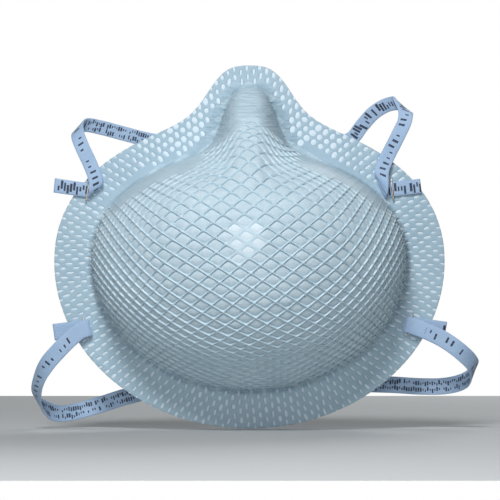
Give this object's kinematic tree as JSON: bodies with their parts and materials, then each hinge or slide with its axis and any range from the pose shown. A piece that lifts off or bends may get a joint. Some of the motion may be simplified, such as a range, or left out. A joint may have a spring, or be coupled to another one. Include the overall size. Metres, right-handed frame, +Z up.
{
  "type": "moulded cup respirator",
  "caption": "Moulded cup respirator with a net-covered dome, a flat pressed flange and two stapled elastic headbands that swing behind it.",
  "frame": {"origin": "middle of the face opening at its widest level, on the plane that the backs of the side rims reach", "axes": "+Z up on the wearer, +Y towards the face, -Y the front of the dome, X across the face"},
  "size_m": [0.1612, 0.0714, 0.1298],
  "materials": {
    "net": "moulded, satin",
    "shell": "pressed nonwoven",
    "filter": "soft nonwoven",
    "lining": "soft brushed nonwoven",
    "elastic": "woven elastic, printed",
    "staple": "drawn wire"
  },
  "bodies": {
    "cup": {"outer_net": "net", "moulded_shell": "shell", "filter_sheet": "filter", "inner_lining": "lining", "upper_headband_left_end": "elastic", "upper_headband_right_end": "elastic", "lower_headband_left_end": "elastic", "lower_headband_right_end": "elastic", "staple_upper_left": "staple", "staple_upper_right": "staple", "staple_lower_left": "staple", "staple_lower_right": "staple"},
    "upper_headband": {"upper_headband_loop": "elastic"},
    "lower_headband": {"lower_headband_loop": "elastic"}
  },
  "joints": [
    {"name": "upper_headband_swing", "type": "hinge", "parent": "cup", "child": "upper_headband", "pos_m": [0, -0.0066, 0.039], "axis": [1, 0, 0], "range_deg": [-60, 30], "stiffness_Nm_per_rad": 0.002, "springref_deg": 0.38},
    {"name": "lower_headband_swing", "type": "hinge", "parent": "cup", "child": "lower_headband", "pos_m": [0, -0.0061, -0.0295], "axis": [1, 0, 0], "range_deg": [-30, 60], "stiffness_Nm_per_rad": 0.002, "springref_deg": 0.66}
  ]
}
